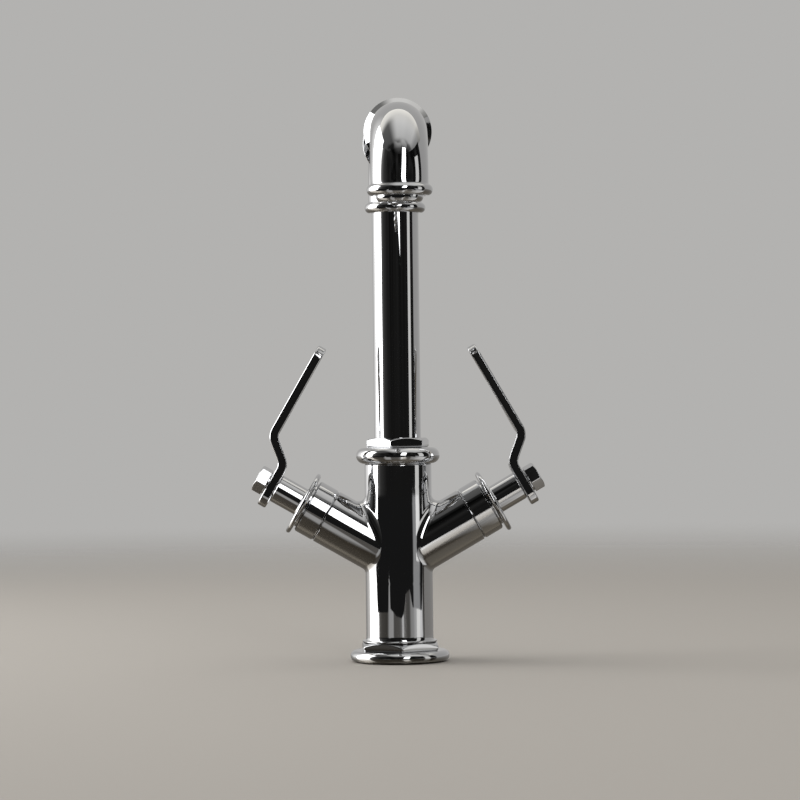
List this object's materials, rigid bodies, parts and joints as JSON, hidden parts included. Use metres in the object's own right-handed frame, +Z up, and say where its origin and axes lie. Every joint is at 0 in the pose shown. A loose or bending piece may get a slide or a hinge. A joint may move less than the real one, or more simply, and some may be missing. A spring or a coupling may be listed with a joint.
{
  "type": "bar faucet",
  "caption": "Bar faucet with an upright body on a round flange, lever handles on slanting arms, and a tall pipe-style swivel spout.",
  "frame": {"origin": "on the faucet's axis at the top of the deck, where the spigot meets the deck seat", "axes": "+Z up along the faucet's axis, -Y towards the spout's outlet and the user, +X to the cold handle"},
  "size_m": [0.1506, 0.1681, 0.3387],
  "materials": {
    "polished_chrome": "polished",
    "turned_brass": "machined",
    "stainless_steel": "plain",
    "black_rubber": "matte",
    "white_ceramic": "lapped",
    "pale_plastic": "moulded"
  },
  "bodies": {
    "faucet_body": {"body": "polished_chrome", "base_hexagon": "polished_chrome", "base_flange": "polished_chrome", "deck_gasket": "black_rubber", "shank": "turned_brass", "inlet_block": "turned_brass", "collar_ring": "polished_chrome", "spout_nut": "polished_chrome", "thrust_washer": "pale_plastic", "left_seat_seal": "black_rubber", "left_fixed_disc": "white_ceramic", "left_cartridge": "turned_brass", "left_cartridge_seal": "black_rubber", "left_bonnet": "polished_chrome", "right_seat_seal": "black_rubber", "right_fixed_disc": "white_ceramic", "right_cartridge": "turned_brass", "right_cartridge_seal": "black_rubber", "right_bonnet": "polished_chrome"},
    "left_handle": {"left_moving_disc": "white_ceramic", "left_spindle": "turned_brass", "left_spindle_seals": "black_rubber", "left_spindle_clip": "stainless_steel", "left_hub": "polished_chrome", "left_lever": "polished_chrome", "left_lever_washer": "polished_chrome", "left_handle_screw": "polished_chrome"},
    "right_handle": {"right_moving_disc": "white_ceramic", "right_spindle": "turned_brass", "right_spindle_seals": "black_rubber", "right_spindle_clip": "stainless_steel", "right_hub": "polished_chrome", "right_lever": "polished_chrome", "right_lever_washer": "polished_chrome", "right_handle_screw": "polished_chrome"},
    "spout": {"spout_end": "turned_brass", "spout_seals": "black_rubber", "riser": "polished_chrome", "rear_elbow": "polished_chrome", "cross_tube": "polished_chrome", "front_elbow": "polished_chrome", "aerator_housing": "polished_chrome", "aerator_screen": "pale_plastic", "aerator_washer": "black_rubber"},
    "deck_clamp": {"clamp_rubber": "black_rubber", "clamp_steel": "stainless_steel", "locknut": "turned_brass"}
  },
  "joints": [
    {"name": "spout_swivel", "type": "hinge", "parent": "faucet_body", "child": "spout", "pos_m": [0, 0, 0.08], "axis": [0, 0, 1], "continuous": true},
    {"name": "hot_handle", "type": "hinge", "parent": "faucet_body", "child": "left_handle", "pos_m": [0, 0, 0.0534], "axis": [0.866, 0, -0.5], "range_deg": [0, 90]},
    {"name": "cold_handle", "type": "hinge", "parent": "faucet_body", "child": "right_handle", "pos_m": [0, 0, 0.0534], "axis": [0.866, 0, 0.5], "range_deg": [0, 90]},
    {"name": "locknut_travel", "type": "slide", "parent": "faucet_body", "child": "deck_clamp", "axis": [0, 0, -1], "range_m": [-0.0185, 0.024]}
  ]
}
